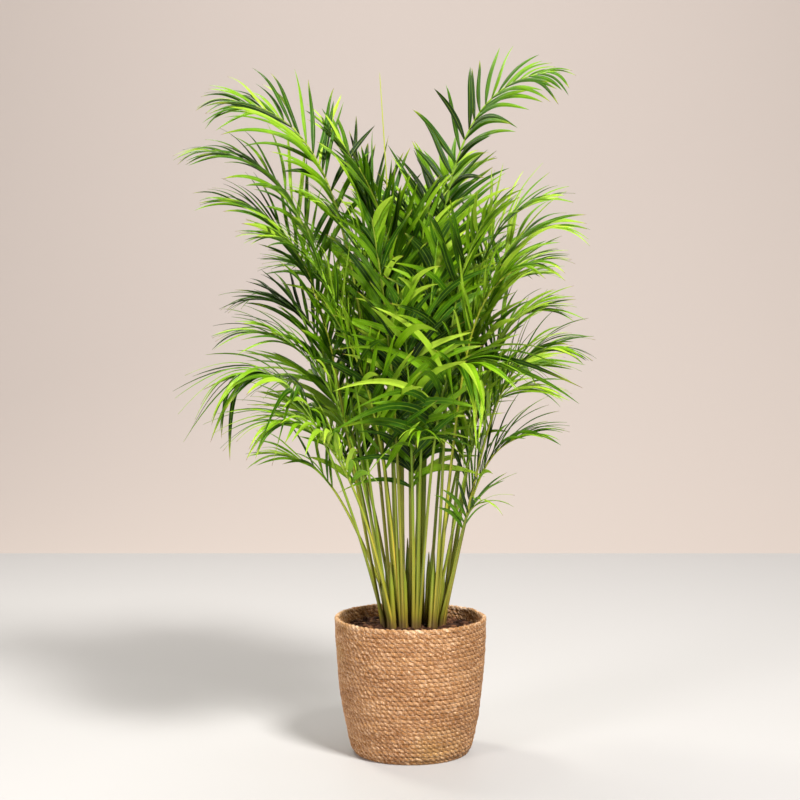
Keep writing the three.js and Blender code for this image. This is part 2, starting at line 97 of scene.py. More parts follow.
def make_object(name, vertices, faces, materials, face_material, attributes=None, sharp=None):
    """An object from arrays: vertices in metres, faces as rows of four corners (-1 pads a triangle)."""
    mesh = bpy.data.meshes.new(name)
    vertices = np.asarray(vertices, np.float32)
    faces = np.asarray(faces, np.int32)
    counts = np.where(faces[:, 3] < 0, 3, 4)
    corners = faces[faces >= 0]
    mesh.vertices.add(len(vertices))
    mesh.vertices.foreach_set("co", vertices.ravel())
    mesh.loops.add(len(corners))
    mesh.loops.foreach_set("vertex_index", corners)
    starts = np.concatenate([[0], np.cumsum(counts)[:-1]])
    mesh.polygons.add(len(faces))
    mesh.polygons.foreach_set("loop_start", starts.astype(np.int32))
    mesh.polygons.foreach_set("use_smooth", np.ones(len(faces), bool))
    mesh.polygons.foreach_set("material_index", np.asarray(face_material, np.int32))
    mesh.update(calc_edges=True)
    for key, values in (attributes or {}).items():
        layer = mesh.attributes.new(key, "FLOAT", "POINT")
        layer.data.foreach_set("value", np.asarray(values, np.float32))
    if sharp is not None:
        ends = np.empty(len(mesh.edges) * 2, np.int32)
        mesh.edges.foreach_get("vertices", ends)
        ends = ends.reshape(-1, 2)
        mark = (sharp[ends[:, 0]] >= 0) & (sharp[ends[:, 0]] == sharp[ends[:, 1]])
        layer = mesh.attributes.new("sharp_edge", "BOOLEAN", "EDGE")
        layer.data.foreach_set("value", mark)
    for material in materials:
        mesh.materials.append(material)
    mesh.validate()
    obj = bpy.data.objects.new(name, mesh)
    bpy.context.scene.collection.objects.link(obj)
    return obj


def turns(sides):
    """Angles of the corners of a ring."""
    return np.linspace(0, 2 * np.pi, sides, endpoint=False)


def ring_at(centre, across, up, turn, width, height):
    """Corners of a ring at those turns round its centre, with half its width and half its height."""
    return centre + np.outer(np.cos(turn) * width, across) + np.outer(np.sin(turn) * height, up)


def grid_faces(rings, sides):
    """Quads round a tube of rings, each with that many sides."""
    k = np.arange(rings - 1)[:, None] * sides
    i = np.arange(sides)[None, :]
    j = (i + 1) % sides
    return np.stack([k + i, k + j, k + sides + j, k + sides + i], -1).reshape(-1, 4)


def fan_faces(start, sides, flip):
    """A flat end of a tube: triangles padded to four corners."""
    i = np.arange(1, sides - 1)
    tri = np.stack([np.zeros_like(i), i + 1, i] if flip else [np.zeros_like(i), i, i + 1], -1) + start
    return np.concatenate([tri, np.full((len(tri), 1), -1)], 1)


def tube(rings):
    """Vertices and faces of a closed tube through rings of points, an array (rings, sides, 3)."""
    count, sides, _ = rings.shape
    ends = [fan_faces(0, sides, True), fan_faces((count - 1) * sides, sides, False)]
    return rings.reshape(-1, 3), np.concatenate([grid_faces(count, sides), *ends])


class Pile:
    """Collects closed bodies with their attributes into one mesh."""

    def __init__(self, keys):
        self.keys = keys
        self.vertices = []
        self.faces = []
        self.values = {key: [] for key in keys}
        self.materials = []
        self.sharp = []
        self.count = 0

    def add(self, vertices, faces, values, material=0, sharp=None):
        faces = np.where(faces >= 0, faces + self.count, -1)
        self.vertices.append(vertices)
        self.faces.append(faces)
        for key in self.keys:
            self.values[key].append(np.broadcast_to(np.asarray(values[key], float), (len(vertices),)))
        self.materials.append(np.full(len(faces), material))
        self.sharp.append(np.full(len(vertices), -1) if sharp is None else sharp)
        self.count += len(vertices)

    def build(self, name, materials):
        return make_object(
            name,
            np.concatenate(self.vertices) * MM,
            np.concatenate(self.faces),
            materials,
            np.concatenate(self.materials),
            {key: np.concatenate(parts) for key, parts in self.values.items()},
            np.concatenate(self.sharp),
        )


def smooth_noise(x, y, z, cell, seed):
    """Value noise between -1 and 1 at points, from a repeatable lattice with that cell size."""
    table = np.random.default_rng(seed).random((32, 32, 32)) * 2 - 1
    p = np.stack([x, y, z], -1) / cell
    base = np.floor(p).astype(int)
    f = p - base
    f = f * f * (3 - 2 * f)
    total = 0
    for dx in (0, 1):
        for dy in (0, 1):
            for dz in (0, 1):
                weight = (f[..., 0] if dx else 1 - f[..., 0]) * (f[..., 1] if dy else 1 - f[..., 1])
                weight = weight * (f[..., 2] if dz else 1 - f[..., 2])
                total = total + weight * table[
                    (base[..., 0] + dx) % 32, (base[..., 1] + dy) % 32, (base[..., 2] + dz) % 32
                ]
    return total


# ---------------------------------------------------------------- materials


class Nodes:
    """A material and short ways to add nodes to it."""

    def __init__(self, name):
        self.material = bpy.data.materials.new(name)
        self.material.use_nodes = True
        self.tree = self.material.node_tree
        self.shader = self.tree.nodes["Principled BSDF"]
        self.output = self.tree.nodes["Material Output"]

    def link(self, source, target):
        self.tree.links.new(source, target)

    def feed(self, socket, value):
        """Gives a socket its value: another node's output, a colour or a number."""
        if isinstance(value, bpy.types.NodeSocket):
            self.link(value, socket)
        else:
            socket.default_value = (*value, 1) if isinstance(value, tuple) else value

    def put(self, name, value):
        """Feeds one of the shader's own inputs."""
        self.feed(self.shader.inputs[name], value)

    def attribute(self, name):
        node = self.tree.nodes.new("ShaderNodeAttribute")
        node.attribute_name = name
        return node.outputs["Fac"]

    def attributes(self, *names):
        return [self.attribute(name) for name in names]

    def math(self, kind, *values):
        node = self.tree.nodes.new("ShaderNodeMath")
        node.operation = kind
        for socket, value in zip(node.inputs, values):
            self.feed(socket, value)
        return node.outputs[0]

    def times(self, a, b):
        return self.math("MULTIPLY", a, b)

    def vary(self, base, noise, middle, weight):
        """The base value, raised or lowered by how far the noise is from its middle."""
        return self.math("ADD", base, self.times(self.math("SUBTRACT", noise, middle), weight))

    def ramp_value(self, value, low, high):
        """0 below low, 1 above high, smooth between. With high below low it is the other way round."""
        node = self.tree.nodes.new("ShaderNodeMapRange")
        node.interpolation_type = "SMOOTHSTEP"
        node.inputs["From Min"].default_value = low
        node.inputs["From Max"].default_value = high
        self.link(value, node.inputs["Value"])
        return node.outputs["Result"]

    def vector(self, x, y, z):
        node = self.tree.nodes.new("ShaderNodeCombineXYZ")
        for socket, value in zip(node.inputs, (x, y, z)):
            self.feed(socket, value)
        return node.outputs[0]

    def stretched(self, across, along, seed, *scale):
        """A place on a blade, stalk or cane, each of its three parts multiplied by its own scale."""
        parts = zip((across, along, seed), scale)
        return self.vector(*(self.times(part, by) for part, by in parts))

    def position(self, scale=(1, 1, 1)):
        coordinates = self.tree.nodes.new("ShaderNodeTexCoord")
        node = self.tree.nodes.new("ShaderNodeMapping")
        node.inputs["Scale"].default_value = scale
        self.link(coordinates.outputs["Object"], node.inputs["Vector"])
        return node.outputs[0]

    def noise(self, vector, scale, detail=3.0, rough=0.55):
        node = self.tree.nodes.new("ShaderNodeTexNoise")
        node.inputs["Scale"].default_value = scale
        node.inputs["Detail"].default_value = detail
        node.inputs["Roughness"].default_value = rough
        self.link(vector, node.inputs["Vector"])
        return node.outputs["Fac"]

    def ramp(self, value, stops):
        node = self.tree.nodes.new("ShaderNodeValToRGB")
        elements = node.color_ramp.elements
        while len(elements) < len(stops):
            elements.new(0.5)
        for element, (place, color) in zip(elements, stops):
            element.position = place
            element.color = (*color, 1)
        self.link(value, node.inputs["Fac"])
        return node.outputs["Color"]

    def mix(self, factor, a, b):
        node = self.tree.nodes.new("ShaderNodeMix")
        node.data_type = "RGBA"
        for index, value in ((0, factor), (6, a), (7, b)):
            self.feed(node.inputs[index], value)
        return node.outputs[2]

    def roughness(self, base, noise, weight):
        """Roughness that rises from the base value with the noise."""
        self.put("Roughness", self.math("ADD", base, self.times(noise, weight)))

    def tint(self, color, other, share, weight=1.0):
        """The colour, turned towards another one by the share times the weight."""
        return self.mix(self.times(share, weight), color, other)

    def bump(self, height, distance, strength=1.0):
        node = self.tree.nodes.new("ShaderNodeBump")
        node.inputs["Distance"].default_value = distance
        node.inputs["Strength"].default_value = strength
        self.link(height, node.inputs["Height"])
        return node.outputs["Normal"]


BLADE_KEYS = ["across", "along", "tone", "seed"]  # what leaves, stalks and canes carry at each vertex
LEAF_SPECULAR = 0.22  # low, so that the pale surroundings don't wash out the dark leaves
LEAF_TRANSLUCENT = 0.22  # share of the light that comes through a leaf


def leaf_material():
    """Green by each leaflet's tone, which holds painted shade in the crown, streaked along,
    paler on vein, margin and tip, some tips brown.
    """
    m = Nodes("leaf")
    across, along, tone, seed = m.attributes(*BLADE_KEYS)
    side = m.math("ABSOLUTE", across)
    streaks = m.noise(m.stretched(across, along, seed, 9.0, 1.6, 31.0), 2.2, 3.0, 0.6)
    blotches = m.noise(m.position(), 22.0, 2.0)
    # the tone carries painted shade in the middle and at the outer edge of the crown
    shade = m.vary(m.vary(tone, streaks, 0.5, 0.35), blotches, 0.5, 0.35)
    green = m.ramp(
        shade,
        [
            (0.0, (0.003, 0.022, 0.001)),
            (0.28, (0.037, 0.138, 0.002)),
            (0.58, (0.208, 0.438, 0.004)),
            (1.0, (0.500, 0.715, 0.055)),
        ],
    )
    midrib = m.ramp_value(side, 0.12, 0.03)
    green = m.tint(green, (0.36, 0.56, 0.03), midrib, 0.5)
    margin = m.ramp_value(side, 0.86, 1.0)
    green = m.tint(green, (0.32, 0.50, 0.02), margin, 0.45)
    worn = m.times(m.ramp_value(along, 0.78, 1.0), m.ramp_value(seed, 0.35, 0.8))
    green = m.tint(green, (0.43, 0.50, 0.03), worn, 0.70)
    dry = m.times(m.ramp_value(along, 0.955, 0.985), m.ramp_value(seed, 0.55, 0.6))
    green = m.tint(green, (0.30, 0.17, 0.06), dry)
    m.put("Base Color", green)
    m.put("Specular IOR Level", LEAF_SPECULAR)
    m.roughness(0.24, streaks, 0.22)
    veins = m.math("SINE", m.times(across, 62.0))
    height = m.math("ADD", m.times(veins, 0.35), streaks)
    normal = m.bump(height, 0.00022, 0.8)
    m.put("Normal", normal)
    through = m.tree.nodes.new("ShaderNodeBsdfTranslucent")
    m.link(m.mix(0.30, green, (0.50, 0.80, 0.01)), through.inputs["Color"])
    m.link(normal, through.inputs["Normal"])
    blend = m.tree.nodes.new("ShaderNodeMixShader")
    for socket, value in zip(blend.inputs, (LEAF_TRANSLUCENT, m.shader.outputs[0], through.outputs[0])):
        m.feed(socket, value)
    m.link(blend.outputs[0], m.output.inputs["Surface"])
    return m.material


def stalk_material():
    """Brown at the soil, yellow-green above, with fine dark and pale lines along it."""
    m = Nodes("stalk")
    around, along, tone, seed = m.attributes(*BLADE_KEYS)
    streaks = m.noise(m.stretched(around, along, seed, 6.0, 3.0, 17.0), 2.4, 4.0, 0.65)
    shade = m.vary(along, streaks, 0.5, 0.5)
    color = m.ramp(
        shade,
        [
            (0.0, (0.20, 0.150, 0.012)),
            (0.14, (0.21, 0.265, 0.008)),
            (0.34, (0.175, 0.290, 0.005)),
            (0.60, (0.150, 0.300, 0.005)),
            (1.0, (0.21, 0.41, 0.009)),
        ],
    )
    color = m.tint(color, (0.42, 0.38, 0.026), m.ramp_value(tone, 0.55, 0.95), 0.60)
    color = m.tint(color, (0.26, 0.145, 0.022), m.ramp_value(tone, 0.35, 0.05), 0.40)
    lines = m.noise(m.stretched(around, along, seed, 3.4, 2.0, 41.0), 2.0, 3.0, 0.6)
    low = m.ramp_value(along, 0.42, 0.16)
    dark_lines = m.times(m.ramp_value(lines, 0.50, 0.60), low)
    color = m.tint(color, (0.075, 0.095, 0.008), dark_lines, 0.85)
    pale_lines = m.times(m.ramp_value(lines, 0.44, 0.34), low)
    color = m.tint(color, (0.58, 0.40, 0.045), pale_lines, 0.8)
    dirt = m.ramp_value(along, 0.040, 0.008)
    color = m.tint(color, (0.085, 0.042, 0.014), dirt, 0.85)
    specks = m.noise(m.stretched(around, along, seed, 3.0, 60.0, 1.0), 4.0, 2.0)
    color = m.tint(color, (0.16, 0.10, 0.03), m.ramp_value(specks, 0.60, 0.72), 0.35)
    m.put("Base Color", color)
    m.roughness(0.34, streaks, 0.25)
    m.put("Normal", m.bump(streaks, 0.0004, 0.6))
    m.put("Subsurface Weight", 0.08)
    m.shader.inputs["Subsurface Radius"].default_value = (0.002, 0.003, 0.0006)
    return m.material


def cane_material():
    """Sheathed cane: brown at the soil, green above, dried towards its pointed tip."""
    m = Nodes("cane")
    around, along, tone, seed = m.attributes(*BLADE_KEYS)
    streaks = m.noise(m.stretched(around, along, seed, 9.0, 1.4, 23.0), 2.6, 5.0, 0.7)
    shade = m.vary(along, streaks, 0.5, 1.3)
    color = m.ramp(
        shade,
        [
            (0.0, (0.10, 0.048, 0.010)),
            (0.12, (0.26, 0.19, 0.018)),
            (0.35, (0.27, 0.29, 0.018)),
            (0.70, (0.17, 0.24, 0.010)),
            (1.0, (0.11, 0.18, 0.008)),
        ],
    )
    color = m.tint(color, (0.20, 0.15, 0.030), m.ramp_value(tone, 0.70, 1.0), 0.75)
    m.put("Base Color", color)
    m.roughness(0.36, streaks, 0.3)
    m.put("Normal", m.bump(streaks, 0.0006, 0.8))
    return m.material


def rope_material():
    """Grass rope: fibres laid along the twist, pale fibre flecks that are partly painted glints,
    and painted shade in the creases between strands.
    """
    m = Nodes("grass_rope")
    lay, run, tone, crease = m.attributes("lay", "run", "tone", "crease")
    fibres = m.noise(m.vector(lay, m.times(run, 0.10), tone), 2.6, 4.0, 0.62)
    fine = m.noise(m.vector(lay, m.times(run, 0.05), 3.0), 7.0, 2.0, 0.6)
    patches = m.noise(m.position((1, 1, 2.2)), 9.0, 3.0, 0.6)
    shade = m.vary(m.times(tone, 0.30), fibres, 0.08, 0.95)
    shade = m.vary(m.vary(shade, patches, 0.5, 0.55), fine, 0.5, 0.85)
    # pale flecks of fibre, partly painted glints
    fleck_place = m.vector(m.times(lay, 0.5), m.times(run, 0.22), 7.0)
    flecks_and_glints = m.noise(fleck_place, 1.9, 1.0, 0.5)
    shade = m.math("ADD", shade, m.times(m.ramp_value(flecks_and_glints, 0.58, 0.66), 0.56))
    color = m.ramp(
        shade,
        [
            (0.08, (0.098, 0.030, 0.006)),
            (0.34, (0.215, 0.080, 0.018)),
            (0.58, (0.345, 0.148, 0.037)),
            (0.80, (0.520, 0.268, 0.095)),
            (1.0, (0.980, 0.740, 0.540)),
        ],
    )
    olive = m.noise(m.position((1, 1, 1.6)), 5.0, 2.0)
    color = m.tint(color, (0.42, 0.30, 0.06), m.ramp_value(olive, 0.55, 0.75), 0.25)
    # painted shade: darker in the creases between the strands
    color = m.tint(color, (0.105, 0.038, 0.010), crease, 0.82)
    m.put("Base Color", color)
    m.roughness(0.52, fibres, 0.3)
    m.put("Specular IOR Level", 0.36)
    height = m.math("ADD", fibres, m.times(fine, 0.5))
    m.put("Normal", m.bump(height, 0.0007, 0.9))
    return m.material


def binding_shade_material():
    """Painted shade: a dark weave behind the coils that shows as the shade in the gaps between them."""
    m = Nodes("basket_binding_shade")
    weave = m.noise(m.position((1, 1, 3.0)), 160.0, 3.0)
    color = m.ramp(weave, [(0.3, (0.055, 0.028, 0.012)), (0.75, (0.16, 0.09, 0.04))])
    m.put("Base Color", color)
    m.put("Roughness", 0.9)
    m.put("Normal", m.bump(weave, 0.001))
    return m.material


def soil_material():
    """Dark peat with lighter crumbs, by each one's tone."""
    m = Nodes("soil")
    coarse = m.noise(m.position(), 90.0, 5.0, 0.65)
    fine = m.noise(m.position(), 420.0, 3.0, 0.6)
    tone = m.attribute("tone")
    shade = m.math("ADD", m.times(coarse, 0.6), m.times(tone, 0.45))
    color = m.ramp(
        shade,
        [
            (0.25, (0.015, 0.005, 0.002)),
            (0.5, (0.062, 0.023, 0.010)),
            (0.75, (0.190, 0.085, 0.038)),
            (1.0, (0.480, 0.280, 0.150)),
        ],
    )
    m.put("Base Color", color)
    m.roughness(0.7, fine, 0.25)
    m.put("Specular IOR Level", 0.2)
    height = m.math("ADD", coarse, m.times(fine, 0.6))
    m.put("Normal", m.bump(height, 0.0016))
    return m.material


def plain_material(name, color, roughness):
    m = Nodes(name)
    m.put("Base Color", color)
    m.put("Roughness", roughness)
    return m.material


LEAF = leaf_material()
STALK = stalk_material()
CANE = cane_material()
ROPE = rope_material()
BINDING_SHADE = binding_shade_material()
SOIL = soil_material()


# ---------------------------------------------------------------- stage

FLOOR_DEPTH = 2.4  # where the floor ends and the backdrop starts to sweep up, in metres behind the basket
FLOOR_REACH = 14.0  # to both sides and to the front
SWEEP_RADIUS = 4.0
SWEEP_STEPS = 48
BACKDROP_TOP = 7.0
sweep = [(-FLOOR_REACH, 0.0), (FLOOR_DEPTH, 0.0)]
for k in range(1, SWEEP_STEPS + 1):
    turn = k / SWEEP_STEPS * math.pi / 2
    sweep.append((FLOOR_DEPTH + SWEEP_RADIUS * math.sin(turn), SWEEP_RADIUS * (1 - math.cos(turn))))
sweep.append((FLOOR_DEPTH + SWEEP_RADIUS, BACKDROP_TOP))
stage_points = [(x, y, z) for y, z in sweep for x in (-FLOOR_REACH, FLOOR_REACH)]
stage_faces = [(2 * k, 2 * k + 1, 2 * k + 3, 2 * k + 2) for k in range(len(sweep) - 1)]
stage_index = [0] + [1] * (len(sweep) - 2)
FLOOR = plain_material("floor", (0.445, 0.440, 0.438), 0.5)
BACKDROP = plain_material("backdrop", (0.51, 0.447, 0.410), 0.8)
stage = make_object("stage", stage_points, stage_faces, [FLOOR, BACKDROP], stage_index)


# ---------------------------------------------------------------- growing rules, as in the CAD model

SOIL_EDGE = 226
SOIL_CROWN = 9
SOIL_RADIUS = 128
STEM_DEPTH = 22
STALK_WIDTH = 5.8
STALK_GAP = 0.8  # between a stalk's foot and its cane in the CAD model
MIDRIB_END_WIDTH = 2.2
MIDRIB_POINT = 6  # length of the point at its end
LEAFLET_SLENDERNESS = 0.036

# A cane stands at x, y and leans that many degrees towards the azimuth.
Cane = namedtuple("Cane", "x y azimuth lean height radius")
CANES = [
    Cane(-44, -8, 190, 4.8, 96, 5.4),
    Cane(-32, -26, 215, 3.6, 120, 5.4),
    Cane(-24, -4, 200, 2.4, 150, 5.8),
    Cane(-11, -26, 250, 2.4, 118, 5.4),
    Cane(-5, -5, 250, 1.2, 160, 5.8),
    Cane(8, -25, 285, 1.8, 130, 5.4),
    Cane(37, -22, 320, 3, 140, 5.4),
    Cane(53, -6, 345, 4.2, 112, 5.4),
    Cane(-38, 18, 165, 3.6, 130, 5.4),
    Cane(-16, 18, 130, 1.8, 165, 5.8),
    Cane(12, 14, 60, 1.2, 165, 5.8),
    Cane(34, 4, 10, 2.4, 150, 5.8),
    Cane(50, 20, 25, 4.2, 122, 5.4),
    Cane(-23, 42, 125, 3.6, 125, 5.4),
    Cane(2, 40, 95, 3, 140, 5.4),
    Cane(30, 40, 60, 3.6, 128, 5.4),
]

# A frond: the index of its cane, the height of its stalk's foot above the soil, azimuth, reach of the
# midrib's end from the foot, height of that end, lean at the foot and at the end, share of its length that
# is bare, pairs of leaflets, length of the longest one, their droop, roll of the frond, their breadth.
Frond = namedtuple(
    "Frond",
    "cane rise azimuth reach top lean end_lean bare pairs length droop roll breadth",
    defaults=[0, 1],
)
FRONDS = [
    # top tier
    Frond(10, 35, -6, 232, 1241, 0, 84, 0.44, 19, 132, 0.5, -50, 1.28),
    Frond(2, 35, 178, 292, 1192, 2.7, 82, 0.48, 15, 172, 0.49, 38),
    Frond(8, 30, 184, 318, 1100, 4.8, 84, 0.48, 14, 178, 0.45, 25),
    Frond(12, 30, -12, 180, 1010, 3.4, 74, 0.44, 14, 178, 0.35, -30),
    Frond(7, 25, 8, 195, 965, 5.4, 84, 0.42, 14, 182, 0.42, -25),
    Frond(9, 40, 160, 125, 1140, 1.4, 34, 0.5, 15, 190, 0.21, 10, 1.2),
    Frond(10, 40, 60, 140, 1090, 2, 50, 0.48, 15, 184, 0.24, -20),
    Frond(14, 35, 95, 225, 1030, 3.4, 78, 0.44, 15, 190, 0.35, 0),
    Frond(4, 40, 225, 110, 1060, 1.4, 40, 0.48, 15, 190, 0.21, 15, 1.15),
    Frond(3, 35, 208, 160, 1000, 2, 55, 0.44, 15, 190, 0.28, 15),
    Frond(6, 35, -52, 150, 985, 2, 46, 0.44, 15, 190, 0.35, -15),
    # middle tier
    Frond(0, 20, 186, 270, 1010, 6.1, 72, 0.37, 15, 186, 0.36, 30),
    Frond(1, 30, 205, 225, 940, 5.4, 76, 0.35, 15, 186, 0.36, 20),
    Frond(8, 20, 165, 245, 835, 8.2, 88, 0.34, 14, 186, 0.42, 15),
    Frond(6, 30, -30, 185, 895, 3.4, 76, 0.35, 15, 190, 0.45, -15),
    Frond(12, 20, 12, 185, 812, 6.8, 82, 0.34, 14, 186, 0.39, -12),
    Frond(7, 20, -10, 205, 742, 8.2, 88, 0.34, 13, 190, 0.42, -15),
    Frond(3, 30, -118, 120, 968, 2, 20, 0.37, 15, 198, 0.6, 8, 1.15),
    Frond(5, 35, -72, 112, 935, 2, 22, 0.37, 15, 198, 0.6, -5, 1.15),
    Frond(10, 35, -84, 90, 1015, 1.4, 18, 0.4, 15, 184, 0.4, 5),
    Frond(13, 30, 120, 245, 945, 5.4, 76, 0.37, 14, 186, 0.36, 5),
    Frond(15, 35, 62, 240, 925, 5.4, 78, 0.37, 14, 186, 0.36, 0),
    Frond(10, 30, 92, 265, 855, 6.1, 86, 0.34, 14, 186, 0.39, 0),
    Frond(11, 25, 32, 195, 875, 5.4, 76, 0.37, 14, 186, 0.36, -10),
    Frond(9, 30, 150, 235, 895, 5.4, 80, 0.37, 14, 186, 0.36, 10),
    Frond(1, 35, 196, 245, 775, 6, 82, 0.35, 14, 190, 0.5, 10),
    Frond(5, 30, -98, 104, 830, 2.7, 24, 0.37, 14, 190, 0.35, 0, 1.15),
    # lower tier
    Frond(0, 15, 196, 275, 700, 10.9, 102, 0.37, 13, 186, 1.4, 12),
    Frond(1, 20, 203, 238, 618, 10.2, 94, 0.36, 13, 186, 0.75, 12),
    Frond(2, 15, 190, 205, 548, 19.8, 82, 0.54, 6, 150, 0.35, 20),
    Frond(12, 15, -4, 155, 585, 9.5, 75, 0.38, 10, 184, 0.52, -10),
    Frond(6, 20, -20, 165, 670, 9.5, 88, 0.35, 12, 190, 0.49, -12),
    Frond(5, 20, -58, 140, 715, 5.4, 105, 0.38, 12, 218, 1.35, -10),
    Frond(3, 20, -134, 135, 800, 5.4, 34, 0.38, 13, 194, 0.4, 10, 1.1),
    Frond(4, 20, -80, 96, 600, 3.4, 70, 0.45, 7, 132, 1.3, 0, 1.35),
    Frond(13, 20, 135, 245, 680, 10.2, 95, 0.35, 13, 190, 0.52, 5),
    Frond(15, 20, 48, 240, 700, 9.5, 95, 0.35, 13, 190, 0.52, 0),
    Frond(14, 20, 82, 230, 620, 10.2, 90, 0.35, 12, 186, 0.49, 0),
    Frond(13, 25, 100, 240, 780, 7.5, 90, 0.36, 13, 190, 0.45, 0),
    Frond(8, 15, 150, 200, 610, 12.2, 85, 0.38, 11, 184, 0.45, 10),
    Frond(7, 15, -25, 95, 470, 13.6, 80, 0.52, 5, 120, 0.6, 0),
]

# The one furled new leaf, which has a midrib only.
SPEAR = Frond(4, 125, 160, 44, 1232, 1, 4, 0, 0, 0, 0)

# Angles that the CAD model tries in turn, so that a stalk's foot or a leaflet clears its neighbours.
NUDGES = [0, 8, -8, 16, -16, 25, -25, 35, -35, 46, -46, 58, -58, 70, -70, 85, -85, 100, -100]
SWINGS = [0, 8, -8, 16, -16, 24, -24, 34, -34, 46, -46]
SPARE_SWING = 5  # for a leaflet that the CAD model leaves out because none of them clears
CORNER_MATCH = 0.4
UP = np.array([0.0, 0.0, 1.0])


def unevenness(a, b, c):
    """A repeatable number between -1 and 1 for each a, b, c."""
    wave = math.sin(a * 12.9898 + b * 78.233 + c * 37.719) * 43758.5453
    return 2 * (wave - math.floor(wave)) - 1


def share01(a, b, c):
    """The same between 0 and 1."""
    return 0.5 + 0.5 * unevenness(a, b, c)


def unit(v):
    return v / np.linalg.norm(v)


def heading(azimuth, tilt):
    """The direction tilted that many degrees from straight up towards the azimuth."""
    a = math.radians(azimuth)
    t = math.radians(tilt)
    return np.array([math.sin(t) * math.cos(a), math.sin(t) * math.sin(a), math.cos(t)])


def soil_height(x, y):
    share = min(1.0, math.hypot(x, y) / SOIL_RADIUS)
    return SOIL_EDGE + SOIL_CROWN * (1 - share * share)


def cane_point(cane, rise):
    """The point on a cane's axis that far above the soil."""
    foot = np.array([cane.x, cane.y, soil_height(cane.x, cane.y)])
    return foot + heading(cane.azimuth, cane.lean) * rise


class Midrib:
    """The curve of a frond's stalk and midrib: a cubic Bezier curve."""

    def __init__(self, frond, nudge):
        cane = CANES[frond.cane]
        self.azimuth = frond.azimuth + 0.2 * nudge
        self.roll = frond.roll
        outward = heading(self.azimuth, 90)
        beside = cane.radius + STALK_WIDTH / 2 + STALK_GAP
        foot = cane_point(cane, frond.rise) + heading(frond.azimuth + nudge, 90) * beside
        end = foot + outward * frond.reach
        end[2] = frond.top
        chord = np.linalg.norm(end - foot)
        lean = outward * math.tan(math.radians(frond.lean))
        start = unit(heading(cane.azimuth, cane.lean) + lean)
        bend = (frond.end_lean - frond.lean) / 90
        near = foot + start * chord * (0.42 + 0.36 * bend)
        far = end - heading(self.azimuth, frond.end_lean) * chord * (0.34 - 0.16 * bend)
        self.points = np.array([foot, near, far, end])

    def at(self, t):
        s = 1 - t
        a, b, c, d = self.points
        return a * s**3 + b * 3 * s * s * t + c * 3 * s * t * t + d * t**3

    def slope(self, t):
        t = min(max(t, 0.0), 1.0)
        s = 1 - t
        a, b, c, d = self.points
        return unit((b - a) * s * s + (c - b) * 2 * s * t + (d - c) * t * t)

    def axes(self, t):
        """Tangent, side to the left, and the upper face's normal."""
        tangent = self.slope(t)
        level = heading(self.azimuth + 90, 90)
        side = unit(level - tangent * level.dot(tangent))
        upper = np.cross(tangent, side)
        turn = math.radians(self.roll) * (1.5 - 0.8 * t)
        normal = upper * math.cos(turn) + side * math.sin(turn)
        left = side * math.cos(turn) - upper * math.sin(turn)
        return tangent, left, normal

    def tip(self):
        return self.at(1) + self.slope(1) * MIDRIB_POINT


def stalk_width(t):
    return STALK_WIDTH + (MIDRIB_END_WIDTH - STALK_WIDTH) * min(1.0, t * 1.02) ** 1.3


def leaflet_share(q):
    """Length of a leaflet, as a share of the longest one's, at q from the first pair to the last."""
    if q < 0.35:
        return 0.74 + 0.26 * math.sin(math.pi / 2 * (q / 0.35))
    return 1 - 0.6 * ((q - 0.35) / 0.65) ** 1.15


class Leaflet:
    """One leaflet's centre curve, a quadratic Bezier curve, and its half width."""

    def __init__(self, midrib, frond, number, pair, side_sign, swing):
        q = pair / (frond.pairs - 1)
        t = frond.bare + (0.985 - frond.bare) * q
        tangent, left, normal = midrib.axes(t)
        length = frond.length * leaflet_share(q) * (1 + 0.13 * unevenness(number, pair, side_sign))
        spread = math.radians(46 - 24 * q + 8 * unevenness(number, pair, side_sign + 5))
        rise = math.radians(24 - 14 * q + 9 * unevenness(number, pair, side_sign + 9) + swing)
        outward = left * side_sign * math.cos(rise) + normal * math.sin(rise)
        start = tangent * math.cos(spread) + outward * math.sin(spread)
        droop = frond.droop * (1 + 0.45 * unevenness(number, pair, side_sign + 3))
        sag = -UP + start * start[2]
        foot = midrib.at(t) + left * side_sign * stalk_width(t) * 0.25 + normal * stalk_width(t) * 0.25
        control = foot + start * length * 0.5
        tip = foot + start * length * (1 - 0.12 * droop) + sag * length * droop * 0.75
        breadth = frond.length * LEAFLET_SLENDERNESS * frond.breadth
        half = breadth * (1 + 0.12 * unevenness(number, pair, side_sign + 7))
        self.points = np.array([foot, control, tip])
        self.half = half * (1 - 0.3 * q)
        self.normal = normal
        self.sag = sag
        self.length = length
        self.key = (number, pair, side_sign)


def node_points(name):
    """Corners of a CAD node, in millimetres."""
    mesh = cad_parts[name].data
    points = np.empty(len(mesh.vertices) * 3, np.float32)
    mesh.vertices.foreach_get("co", points)
    return points.reshape(-1, 3) / MM


def is_corner(points, place):
    return np.min(np.linalg.norm(points - place, axis=1)) < CORNER_MATCH


TOP_FROND = 1  # the frond that stands out at the upper right, with broad blunt leaflets
TOP_TIER = 11  # the first fronds, up to this one, make the open top tier


def between_share(number, frond):
    """Chance of one more leaflet between two of the CAD model's: less in the open, upright fronds."""
    if number == TOP_FROND:
        return 0.0
    if number <= TOP_TIER:
        return 0.36
    return 0.25 if frond.end_lean < 40 else 0.52


